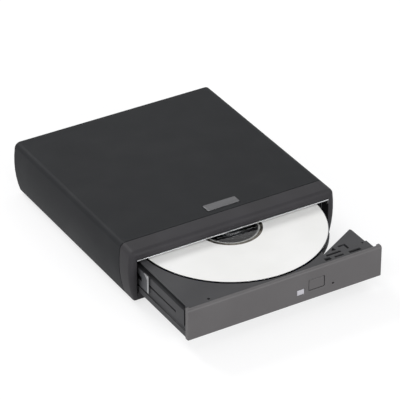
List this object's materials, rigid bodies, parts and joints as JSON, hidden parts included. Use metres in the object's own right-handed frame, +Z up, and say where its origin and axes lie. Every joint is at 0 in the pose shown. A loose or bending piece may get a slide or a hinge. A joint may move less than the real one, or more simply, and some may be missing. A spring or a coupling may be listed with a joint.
{
  "type": "external disc drive",
  "caption": "External optical drive with rounded housing, slim pull-out tray on telescoping rails, eject button, lamp, disc on a spindle, laser sled, and rear sockets.",
  "frame": {"origin": "on the desk, under the middle of the box round the drive with its tray out as stored", "axes": "+Z up, front and tray to -Y, +X to the right seen from the front"},
  "size_m": [0.145, 0.208, 0.0378],
  "materials": {
    "cover_plastic": "satin dark grey",
    "frame_plastic": "satin grey",
    "bezel_plastic": "satin grey",
    "tray_plastic": "satin dark grey",
    "badge_metal": "brushed, bare",
    "foot_rubber": "matt black",
    "sheet_steel": "zinc plated",
    "dark_steel": "dark zinc",
    "pickup_metal": "cast",
    "bright_steel": "polished",
    "brass": "plain",
    "copper": "copper wound",
    "board": "green solder mask",
    "chip": "black resin",
    "black_plastic": "satin black",
    "clear_plastic": "pale, smooth",
    "disc_print": "white printable face",
    "film": "amber polyimide"
  },
  "bodies": {
    "case": {"top_cover": "cover_plastic", "front_frame": "frame_plastic", "bottom_cover": "cover_plastic", "rear_panel": "cover_plastic", "badge_plate": "badge_metal", "drive_tub": "sheet_steel", "drive_lid": "sheet_steel", "latch_post": "bright_steel", "rail_guide_left": "black_plastic", "rail_guide_right": "black_plastic", "bridge_board": "board", "bridge_chip": "chip", "capacitor_near": "black_plastic", "capacitor_far": "black_plastic", "drive_connector": "black_plastic", "usb_socket": "sheet_steel", "usb_tongue": "clear_plastic", "power_jack": "black_plastic", "power_pin": "brass", "ribbon_cable": "film", "foot_front_left": "foot_rubber", "foot_front_right": "foot_rubber", "foot_rear_left": "foot_rubber", "foot_rear_right": "foot_rubber", "case_screw_front_left": "dark_steel", "case_screw_front_right": "dark_steel", "case_screw_rear_left": "dark_steel", "case_screw_rear_right": "dark_steel"},
    "left_rail": {"rail_left": "bright_steel"},
    "right_rail": {"rail_right": "bright_steel"},
    "tray_unit": {"tray": "tray_plastic", "tray_bezel": "bezel_plastic", "lamp_window": "clear_plastic", "tray_cover": "sheet_steel", "tray_board": "board", "controller_chip": "chip", "driver_chip": "chip", "eject_switch": "black_plastic", "status_lamp": "clear_plastic", "latch_pin": "bright_steel", "eject_solenoid": "copper", "sled_frame": "dark_steel", "motor_base": "dark_steel", "stator_core": "copper", "guide_rod_far": "bright_steel", "guide_rod_near": "bright_steel", "sled_motor": "dark_steel", "damper_inner_far": "foot_rubber", "damper_outer_far": "foot_rubber", "damper_inner_near": "foot_rubber", "damper_outer_near": "foot_rubber"},
    "button": {"eject_button": "bezel_plastic"},
    "spindle": {"rotor_cup": "bright_steel", "turntable": "black_plastic", "disc": "disc_print"},
    "screw": {"lead_screw": "brass"},
    "pickup": {"optical_pickup": "pickup_metal", "objective_lens": "clear_plastic"},
    "latch": {"latch_lever": "black_plastic"},
    "plunger": {"solenoid_plunger": "bright_steel"}
  },
  "joints": [
    {"name": "tray_slide", "type": "slide", "parent": "case", "child": "tray_unit", "axis": [0, -1, 0], "range_m": [-0.059, 0.064]},
    {"name": "left_rail_slide", "type": "slide", "parent": "case", "child": "left_rail", "axis": [0, -1, 0], "range_m": [-0.0295, 0.032]},
    {"name": "right_rail_slide", "type": "slide", "parent": "case", "child": "right_rail", "axis": [0, -1, 0], "range_m": [-0.0295, 0.032]},
    {"name": "eject_press", "type": "slide", "parent": "tray_unit", "child": "button", "axis": [0, 1, 0], "range_m": [0, 0.0008], "stiffness_N_per_m": 900},
    {"name": "spindle_spin", "type": "hinge", "parent": "tray_unit", "child": "spindle", "pos_m": [0, -0.039, 0.024], "axis": [0, 0, 1], "continuous": true},
    {"name": "pickup_slide", "type": "slide", "parent": "tray_unit", "child": "pickup", "axis": [-0.7071, 0.7071, 0], "range_m": [0, 0.033]},
    {"name": "screw_spin", "type": "hinge", "parent": "tray_unit", "child": "screw", "pos_m": [-0.00919, -0.04819, 0.01805], "axis": [-0.7071, 0.7071, 0], "continuous": true},
    {"name": "latch_turn", "type": "hinge", "parent": "tray_unit", "child": "latch", "pos_m": [0.05048, -0.0915, 0.0171], "axis": [0, 0, 1], "range_deg": [0, 16]},
    {"name": "plunger_slide", "type": "slide", "parent": "tray_unit", "child": "plunger", "axis": [-1, 0, 0], "range_m": [0, 0.000977], "stiffness_N_per_m": 30}
  ],
  "couplings": [
    {"joint": "left_rail_slide", "follows": "tray_slide", "ratio": 0.5},
    {"joint": "right_rail_slide", "follows": "tray_slide", "ratio": 0.5},
    {"joint": "screw_spin", "follows": "pickup_slide", "rad_per_m": 2094.4},
    {"joint": "latch_turn", "follows": "plunger_slide", "rad_per_m": 285.71}
  ]
}
